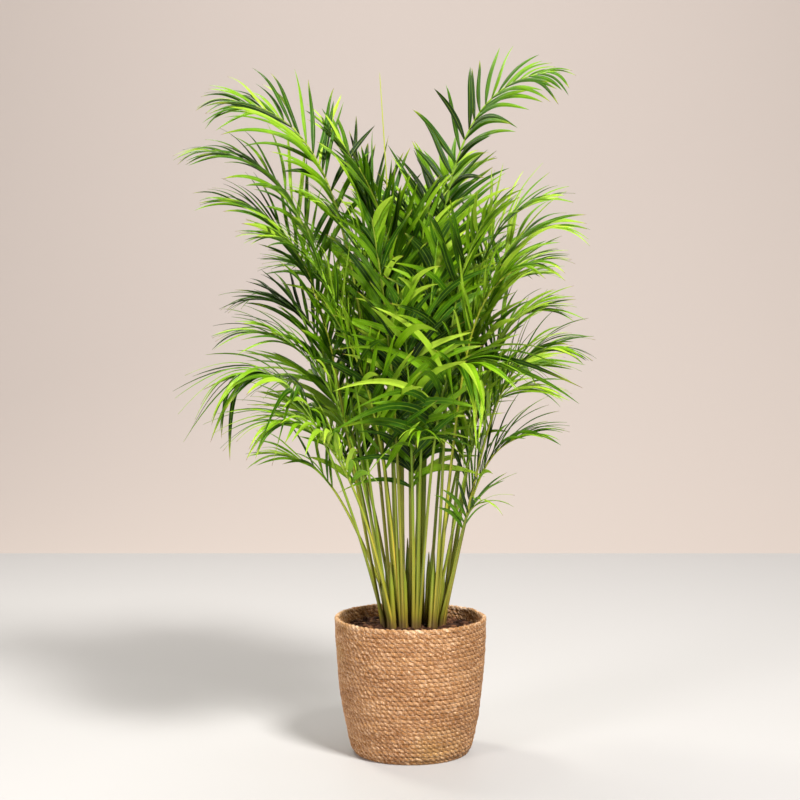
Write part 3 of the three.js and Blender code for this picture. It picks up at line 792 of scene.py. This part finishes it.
def grown_frond(number, frond, node):
    """The midrib and leaflets of one frond, as the CAD node has them, with more leaflets between those."""
    corners = node_points(node)
    for nudge in NUDGES:
        midrib = Midrib(frond, nudge)
        if is_corner(corners, midrib.tip()):
            break
    else:
        raise RuntimeError(node + " has no midrib where its growing rules put one")
    leaflets = []
    for pair in range(frond.pairs):
        for side_sign in (1, -1):
            for swing in SWINGS:
                leaflet = Leaflet(midrib, frond, number, pair, side_sign, swing)
                if is_corner(corners, leaflet.points[2]):
                    break
            else:
                leaflet = Leaflet(midrib, frond, number, pair, side_sign, SPARE_SWING)
            leaflets.append(leaflet)
            chance = share01(number + 7, pair, side_sign)
            if pair < frond.pairs - 1 and chance < between_share(number, frond):
                swing = 9 * unevenness(number + 17, pair, side_sign)
                leaflets.append(Leaflet(midrib, frond, number, pair + 0.5, side_sign, swing))
    return midrib, leaflets


# ---------------------------------------------------------------- fronds

BLADE_STEPS = 11
STEP_POWER = 0.92  # spaces the steps a little closer towards the tip
BLADE_BREADTH = 0.97  # of the CAD model's straight-sided leaflets
BLADE_RING = [-1, -0.5, 0, 0.5, 1, 0.5, 0, -0.5]  # corners across the blade: its upper face, then its lower


def blade_body(leaflet):
    """A thin closed blade along the leaflet's curve, folded a little along its vein."""
    a, b, c = leaflet.points
    number, pair, side_sign = leaflet.key
    wobble = unevenness(number, pair + 40, side_sign)
    twist_total = math.radians(26 * unevenness(number + 3, pair, side_sign + 2))
    fold = math.radians(13 + 8 * unevenness(number, pair + 9, side_sign))
    curl = leaflet.length * (0.03 + 0.09 * share01(number + 5, pair, side_sign) ** 1.5)
    blunt = 3.6 if number == TOP_FROND else 2.0 + 1.3 * share01(number + 9, pair, side_sign)
    rings = []
    for k in range(BLADE_STEPS + 1):
        u = (k / BLADE_STEPS) ** STEP_POWER
        s = 1 - u
        centre = a * s * s + b * 2 * s * u + c * u * u
        along = unit((b - a) * s + (c - b) * u + leaflet.normal * 1e-6)
        face = unit(leaflet.normal - along * leaflet.normal.dot(along))
        sideways = np.cross(along, face)
        centre = centre + sideways * leaflet.length * 0.028 * wobble * math.sin(math.pi * u * 1.6)
        bow = leaflet.length * 0.035 * math.sin(math.pi * u)
        centre = centre + face * bow * 0.5 + leaflet.sag * curl * max(0.0, u - 0.45) ** 2 / 0.3
        turn = twist_total * u
        face, sideways = (
            face * math.cos(turn) + sideways * math.sin(turn),
            sideways * math.cos(turn) - face * math.sin(turn),
        )
        swell = 0.30 + 0.70 * math.sin(math.pi / 2 * min(1.0, u / 0.30))
        taper = max(0.0, 1 - u**blunt) ** 0.92
        half = leaflet.half * BLADE_BREADTH * swell * taper + 0.12
        thick = 0.28 + 0.9 * (1 - min(1.0, u / 0.12)) ** 2
        ring = []
        for i, x in enumerate(BLADE_RING):
            lower = i > 4
            drop = -abs(x) * half * math.sin(fold)
            lift = thick * (1 - abs(x)) * (-1.2 if lower else 0.8)
            if lower and x == 0:
                lift -= 0.25 * (1 - u)
            ring.append(centre + sideways * x * half * math.cos(fold) + face * (drop + lift))
        rings.append(ring)
    return np.array(rings)


def round_rings(rings):
    """Where each corner of a tube's rings stands across it, from -1 to 1."""
    count, sides, _ = rings.shape
    return np.tile(np.cos(turns(sides)), count)


def stalk_body(midrib, cane):
    """A closed tube along stalk and midrib, grooved above. Its sheath runs down the cane into the soil."""
    turn = turns(10)
    groove = 1 - 0.30 * np.maximum(0, np.sin(turn)) ** 4
    rings = []
    for t in np.linspace(0, 1, 46):
        _, left, normal = midrib.axes(t)
        half = stalk_width(t) / 2 * (1.08 + 0.22 * math.exp(-t / 0.05))
        rings.append(ring_at(midrib.at(t), left, normal, turn, half * 0.96, half * groove))
    axis = heading(cane.azimuth, cane.lean)
    base = rings[0]
    middle = base.mean(axis=0)
    rise = (middle - cane_point(cane, 0)).dot(axis)
    inward = cane_point(cane, rise) - middle
    for k in range(1, 7):
        share = k / 6
        slide = (rise + 5) * share
        shift = inward * 0.16 * math.sin(math.pi / 2 * share) - axis * slide
        rings.insert(0, middle + shift + (base - middle) * (1 + 0.16 * share))
    end = rings[-1]
    middle = end.mean(axis=0)
    rings.append(middle + (end - middle) * 0.35 + midrib.slope(1) * MIDRIB_POINT)
    return np.array(rings)


STALK_RUN = 900  # length of stalk over which its colour changes from foot to end
CANE_RUN = 150  # the same for a cane

# Fronds with a tone of their own: darker ones at the top and low in front, lighter ones between.
TONES = {1: 0.38, 2: 0.42, 6: 0.42, 18: 0.50, 19: 0.50, 20: 0.68, 27: 0.34, 33: 0.38, 35: 0.42}


def leaflet_tone_and_shade(leaflet, places, along):
    """Brightness of the leaflet's green at each vertex, about 0 to 1.

    It differs from frond to frond and from leaflet to leaflet, and rises towards the tip. It is lower in the
    middle of the crown, painted shade together with the darker green of older leaves there, lower at its
    outer edge, painted shade that tones down the full light there, and higher low down.
    """
    number, pair, side_sign = leaflet.key
    frond_tone = TONES.get(number, 0.47 + 0.24 * unevenness(number, 3, 4))
    variety = 0.5 if number == TOP_FROND else 1.0
    own = 0.37 * unevenness(number + 13, pair, side_sign) + 0.62 * share01(number + 51, pair, side_sign) ** 5
    tone = frond_tone + variety * own + 0.14 * (along - 0.45)
    reach = np.hypot(places[:, 0], places[:, 1]) / 200
    # painted shade: darker towards the middle of the crown, and at its outer edge against the full light
    # there
    tone = tone + 0.55 * (np.minimum(reach, 1) - 0.90) - 0.21 * np.clip((reach - 1) / 0.6, 0, 1)
    return tone + 0.15 * np.clip((780 - places[:, 2]) / 250, -0.7, 1)


def frond_piece(number, frond, node):
    midrib, leaflets = grown_frond(number, frond, node)
    pile = Pile(BLADE_KEYS)
    rings = stalk_body(midrib, CANES[frond.cane])
    middles = rings.mean(axis=1)
    walk = np.concatenate([[0], np.cumsum(np.linalg.norm(np.diff(middles, axis=0), axis=1))])
    values = {
        "across": round_rings(rings),
        "along": np.repeat(walk / STALK_RUN, rings.shape[1]),
        "tone": share01(number, 11, 2),
        "seed": share01(number, 1, 7),
    }
    pile.add(*tube(rings), values, material=1)
    for index, leaflet in enumerate(leaflets):
        rings = blade_body(leaflet)
        vertices, faces = tube(rings)
        count, sides, _ = rings.shape
        along = np.repeat(np.linspace(0, 1, count) ** STEP_POWER, sides)
        sharp = np.full((count, sides), -1)  # each of a blade's two edges is a sharp line of its own
        sharp[:, 0] = 2 * index
        sharp[:, 4] = 2 * index + 1
        pile.add(
            vertices,
            faces,
            {
                "across": np.tile(BLADE_RING, count),
                "along": along,
                "tone": leaflet_tone_and_shade(leaflet, vertices, along),
                "seed": share01(number + 29, *leaflet.key[1:]),
            },
            sharp=sharp.ravel(),
        )
    piece = pile.build(node + "_leaf", [LEAF, STALK])
    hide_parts(node)
    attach(piece, "root")


for number, frond in enumerate(FRONDS, 1):
    frond_piece(number, frond, "frond_%02d" % number)


# ---------------------------------------------------------------- spear leaf and canes


def spear_piece():
    """The furled new leaf: a thin rod with three soft ridges, pointed at its end."""
    midrib = Midrib(SPEAR, 0)
    turn = turns(12)
    rings = []
    for t in np.linspace(0, 1, 50):
        _, left, normal = midrib.axes(t)
        half = (2.9 - 2.2 * t) * (1 + 0.14 * np.cos(3 * turn + 9 * t))
        rings.append(ring_at(midrib.at(t), left, normal, turn, half, half))
    rings.append(rings[-1] * 0.2 + midrib.at(1) * 0.8 + midrib.slope(1) * 11)
    rings = np.array(rings)
    pile = Pile(BLADE_KEYS)
    along = np.repeat(np.linspace(0.1, 1, len(rings)), len(turn))
    pile.add(*tube(rings), {"across": round_rings(rings), "along": along, "tone": 0.9, "seed": 0.4})
    piece = pile.build("spear_leaf_skin", [STALK])
    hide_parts("spear_leaf")
    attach(piece, "root")


spear_piece()


def cane_piece(number, cane, node):
    """A cane wrapped in its sheaths: fluted, split along one side, and drawn in to a pointed tip."""
    side = heading(cane.azimuth + 90, 90)
    axis = heading(cane.azimuth, cane.lean)
    front = np.cross(side, axis)
    turn = turns(20)
    levels = np.concatenate([np.linspace(-STEM_DEPTH, 0, 4), np.linspace(4, cane.height, 30)])
    rings = []
    for rise in levels:
        share = max(0.0, rise / cane.height)
        r = cane.radius * (1.05 - 0.36 * share)
        if rise < 6:
            r *= 1 + 0.10 * (1 - abs(rise) / 24)
        sheath = (share * 2.3 + 0.37 * number) % 1.0
        r *= 1.0 + 0.07 * (1 - sheath) ** 3
        point = min(1.0, max(0.0, (share - 0.58) / 0.42))
        r *= 1 - 0.80 * point * point * (1.6 - 0.6 * point)
        flute = 1 + 0.030 * np.cos(5 * turn + number) + 0.018 * np.cos(9 * turn + 2.3 * number + share)
        past_slit = (turn - 2 * number - 0.5 * share) % (2 * math.pi) - 1.2
        half = r * flute * (1 - 0.14 * np.exp(-(past_slit**2) / 0.05))
        rings.append(ring_at(cane_point(cane, rise), front, side, turn, half, half))
    rings.append(rings[-1] * 0.25 + cane_point(cane, cane.height) * 0.75 + axis * 1.2)
    rings = np.array(rings)
    heights = np.repeat(np.append(levels, cane.height), len(turn))
    values = {
        "across": round_rings(rings),
        "along": np.clip(heights / CANE_RUN, 0, 1),
        "tone": np.clip(heights / cane.height, 0, 1),
        "seed": share01(number, 5, 5),
    }
    pile = Pile(BLADE_KEYS)
    pile.add(*tube(rings[:, ::-1]), values)
    piece = pile.build(node + "_skin", [CANE])
    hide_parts(node)
    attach(piece, "root")


for number, cane in enumerate(CANES, 1):
    cane_piece(number, cane, "stem_%02d" % number)


# ---------------------------------------------------------------- basket

BASKET_HEIGHT = 250
# Height and radius of the outer wall, from the foot to the rim.
BASKET_OUTLINE = [(0, 102), (6, 109), (16, 114), (67, 124.5), (118, 132), (169, 136.5), (215, 139)]
BASKET_OUTLINE.append((BASKET_HEIGHT, 139.5))
BASKET_LEAN = 2.4  # how far the rim stands towards -X of the foot
ROPE_COILS = 31
COIL_PITCH = BASKET_HEIGHT / ROPE_COILS
ROPE_DEPTH = 3.7  # half the rope's thickness across the wall
ROPE_HEIGHT = 5.1  # half its thickness up the wall: each coil presses on the next
ROPE_STRANDS = 2
ROPE_LAY = 21.0  # length of rope in which a strand goes once round it
ROPE_SIDES = 16
STEPS_PER_TURN = 400
MEAN_RADIUS = 130
JOIN = 0.115  # where each coil steps up to the next, as a share of a turn from +X
CLEAR_OF_FLOOR = 0.15
WALL_LEVELS = (24, 67, 118, 168, 214)  # heights of the rings of the surfaces that line the wall


def wall_radius(z):
    heights, radii = zip(*BASKET_OUTLINE)
    return np.interp(z, heights, radii)


def wall_shift(z):
    """How far along X the basket's axis stands at that height."""
    return BASKET_LEAN * (0.5 - z / BASKET_HEIGHT)


def rope_path(first, last):
    """Centre, azimuth and tuck of the rope from coil first to coil last.

    The coils are level and step up at JOIN, wander a little, and the last one is tucked in below the rim.
    """
    coil = np.linspace(first, last, (last - first) * STEPS_PER_TURN + 1)
    level = np.floor(coil + 1e-9)
    climb = np.clip((coil - level - 0.93) / 0.07, 0, 1)
    climb = climb * climb * (3 - 2 * climb)
    tuck = np.clip((coil - (ROPE_COILS - 0.05)) / 0.05, 0, 1)
    z = np.minimum(COIL_PITCH * (0.5 + level + climb), COIL_PITCH * (ROPE_COILS - 0.5))
    z = z + 3.0 * np.sin(np.pi * tuck)
    azimuth = 2 * np.pi * (coil + JOIN)
    east = np.cos(azimuth)
    north = np.sin(azimuth)
    free = np.clip(z / 20, 0, 1) * np.clip((BASKET_HEIGHT - z) / 16, 0.25, 1)
    z = z + 1.5 * free * smooth_noise(east * 2.2, north * 2.2, z * 0.022, 1.0, 9)
    z = z + 0.35 * free * smooth_noise(east * 9, north * 9, z * 0.12, 1.0, 8)
    sway = 0.8 * smooth_noise(east * 1.7, north * 1.7, z * 0.018, 1.0, 5)
    sway = sway + 0.45 * smooth_noise(east * 4, north * 4, level * 3.7, 1.0, 6)
    radius = wall_radius(z) - ROPE_DEPTH - 0.3 + sway - 3.0 * tuck
    return np.stack([radius * east + wall_shift(z), radius * north, z], -1), azimuth, tuck


def rope_axes(centre, azimuth):
    """Length of rope up to each point of its centre, and the directions out of the wall and up it there."""
    tangent = np.gradient(centre, axis=0)
    step = np.linalg.norm(tangent, axis=1, keepdims=True)
    tangent = tangent / step
    widening = np.gradient(wall_radius(np.arange(BASKET_HEIGHT + 1)))
    lean = widening[np.clip(centre[:, 2].astype(int), 0, BASKET_HEIGHT - 1)]
    out = np.stack([np.cos(azimuth), np.sin(azimuth), -np.clip(lean, 0, 0.5)], -1)
    out = out - tangent * (out * tangent).sum(1, keepdims=True)
    out /= np.linalg.norm(out, axis=1, keepdims=True)
    return np.cumsum(step[:, 0]), out, np.cross(out, tangent)


def rope_piece(name, first, last):
    """Coils first to last of the rope, a cord of twisted strands laid round and round."""
    centre, azimuth, tuck = rope_path(first, last)
    run, out, up = rope_axes(centre, azimuth)
    run = run + first * 2 * np.pi * MEAN_RADIUS
    turn = turns(ROPE_SIDES)[None, :]
    lay_jitter = 1.1 * smooth_noise(run * 0.035, run * 0, run * 0, 1.0, 21)
    twist = (2 * np.pi * run / ROPE_LAY + lay_jitter)[:, None]
    strand = ROPE_STRANDS / 2 * (turn + twist)
    groove = (1 - np.abs(np.sin(strand))) ** 1.25
    number = np.floor(strand / np.pi).astype(int)
    dice = np.random.default_rng(11).random(65536)
    # painted highlight: the top coil is paler along the rim
    rim_highlight = np.clip((centre[:, 2] - 240) / 4, 0, 1)[:, None]
    tone = dice[number % len(dice)] + 0.5 * rim_highlight
    fat = dice[(number * 7 + 13) % len(dice)]
    thin = (1 - 0.45 * tuck)[:, None]
    swell = thin * (1 + 0.22 * (fat - 0.5) * (1 - groove)) * (1 - 0.42 * groove)
    cos = np.cos(turn)
    sin = np.sin(turn)
    outward = np.sign(cos) * np.abs(cos) ** 0.52 * ROPE_DEPTH
    upward = np.sign(sin) * np.abs(sin) ** 0.92 * ROPE_HEIGHT
    points = centre[:, None] + out[:, None] * (outward * swell)[..., None]
    points = points + up[:, None] * (upward * swell)[..., None]
    points[..., 2] = np.maximum(points[..., 2], CLEAR_OF_FLOOR)
    values = {
        "lay": (2 * ROPE_DEPTH * strand).ravel(),
        "run": np.repeat(run, ROPE_SIDES),
        "tone": tone.ravel(),
        # painted shade for the creases between strands, from the depth of each groove
        "crease": np.clip(groove**1.3, 0, 1).ravel(),
    }
    pile = Pile(list(values))
    pile.add(*tube(points), values)
    piece = pile.build(name, [ROPE])
    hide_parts("basket")
    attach(piece, "root")


for number, (first, last) in enumerate([(0, 10), (10, 20), (20, ROPE_COILS)], 1):
    rope_piece("basket_rope_%d" % number, first, last)


def lathe(profile, sides):
    """A closed solid of revolution from (radius, height) points that start and end on the axis."""
    turn = turns(sides)
    inner = profile[1:-1]
    rings = np.array([[(r * math.cos(a), r * math.sin(a), z) for a in turn] for r, z in inner])
    vertices = rings.reshape(-1, 3)
    low = len(vertices)
    vertices = np.concatenate([vertices, [(0, 0, profile[0][1]), (0, 0, profile[-1][1])]])
    faces = [grid_faces(len(inner), sides)]
    i = np.arange(sides)
    j = (i + 1) % sides
    pad = np.full(sides, -1)
    faces.append(np.stack([np.full(sides, low), j, i, pad], -1))
    top = (len(inner) - 1) * sides
    faces.append(np.stack([np.full(sides, low + 1), top + i, top + j, pad], -1))
    return vertices, np.concatenate(faces)


def binding_piece():
    """The wall that the coils are sewn through, seen only in the gaps between them as painted shade, and the
    floor.
    """
    profile = [(0, 0.2), (92, 0.2), (103.5, 4), (108, 12)]
    profile += [(float(wall_radius(z)) - 3.2, z) for z in (*WALL_LEVELS, 243)]
    profile += [(float(wall_radius(z)) - 5.4, z) for z in (243.2, *reversed(WALL_LEVELS))]
    profile += [(98, 8), (0, 8)]
    vertices, faces = lathe(profile, 96)
    vertices[:, 0] += wall_shift(vertices[:, 2])
    pile = Pile(["tone"])
    pile.add(vertices, faces, {"tone": 0.3})
    piece = pile.build("basket_binding_shade", [BINDING_SHADE])
    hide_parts("basket")
    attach(piece, "root")


binding_piece()


# ---------------------------------------------------------------- soil

SOIL_FOOT = 10
SOIL_TO_WALL = 9.6  # from the basket's outline in to the soil's side
CRUMBS = 760
CRUMB_REACH = 127


def soil_top(x, y):
    """The crumbly surface: the mound with bumps of three sizes."""
    share = np.minimum(1.0, np.hypot(x, y) / SOIL_RADIUS)
    z = SOIL_EDGE + SOIL_CROWN * (1 - share * share)
    z = z + 2.6 * smooth_noise(x, y, 0 * x, 17.0, 31) + 1.7 * smooth_noise(x, y, 0 * x, 7.0, 32)
    return z + 0.9 * smooth_noise(x, y, 0 * x, 3.2, 33) - 1.2


def ball_shape():
    """Vertices and triangles of a round crumb of radius 1."""
    ball = bpy.data.meshes.new("crumb")
    form = bmesh.new()
    bmesh.ops.create_icosphere(form, subdivisions=2, radius=1)
    form.to_mesh(ball)
    form.free()
    points = np.array([v.co[:] for v in ball.vertices])
    triangles = np.array([list(p.vertices) + [-1] for p in ball.polygons])
    bpy.data.meshes.remove(ball)
    return points, triangles


def soil_piece():
    """The soil that fills the basket, with loose crumbs on it that keep clear of the canes."""
    sides = 200
    turn = turns(sides)
    rings = []
    for z in (SOIL_FOOT, *WALL_LEVELS):
        r = float(wall_radius(z)) - SOIL_TO_WALL - (8 if z == SOIL_FOOT else 0)
        rings.append(np.stack([r * np.cos(turn), r * np.sin(turn), np.full(sides, float(z))], -1))
    for r in np.linspace(129.6, 1.2, 92):
        x = r * np.cos(turn)
        y = r * np.sin(turn)
        rings.append(np.stack([x, y, soil_top(x, y)], -1))
    vertices, faces = tube(np.array(rings))
    pile = Pile(["tone"])
    x, y, _ = vertices.T
    pile.add(vertices, faces, {"tone": 0.30 + 0.25 * smooth_noise(x, y, 0 * x, 9.0, 3)})
    base, triangles = ball_shape()
    placed = 0
    while placed < CRUMBS:
        r = CRUMB_REACH * math.sqrt(rng.random())
        a = rng.random() * 2 * math.pi
        x = r * math.cos(a)
        y = r * math.sin(a)
        size = 1.0 + 4.6 * rng.random() ** 2.2
        if any(math.hypot(x - cane.x, y - cane.y) < cane.radius + size + 1 for cane in CANES):
            continue
        stretch = np.array([1 + 0.7 * rng.random(), 0.75 + 0.4 * rng.random(), 0.5 + 0.4 * rng.random()])
        dents = 1 + 0.28 * smooth_noise(base[:, 0] + placed, base[:, 1], base[:, 2], 0.7, 41)
        body = base * dents[:, None] * stretch * size
        spin = rng.random() * math.pi
        tilt = (rng.random() - 0.5) * 1.2
        c, s = math.cos(spin), math.sin(spin)
        body = body @ np.array([[c, s, 0], [-s, c, 0], [0, 0, 1]])
        c, s = math.cos(tilt), math.sin(tilt)
        body = body @ np.array([[1, 0, 0], [0, c, s], [0, -s, c]])
        z = float(soil_top(np.array([x]), np.array([y]))[0])
        body = body + np.array([x, y, z + 0.25 * size])
        pile.add(body, triangles, {"tone": rng.random() ** 1.6})
        placed += 1
    piece = pile.build("soil_surface", [SOIL])
    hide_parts("soil")
    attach(piece, "root")


soil_piece()
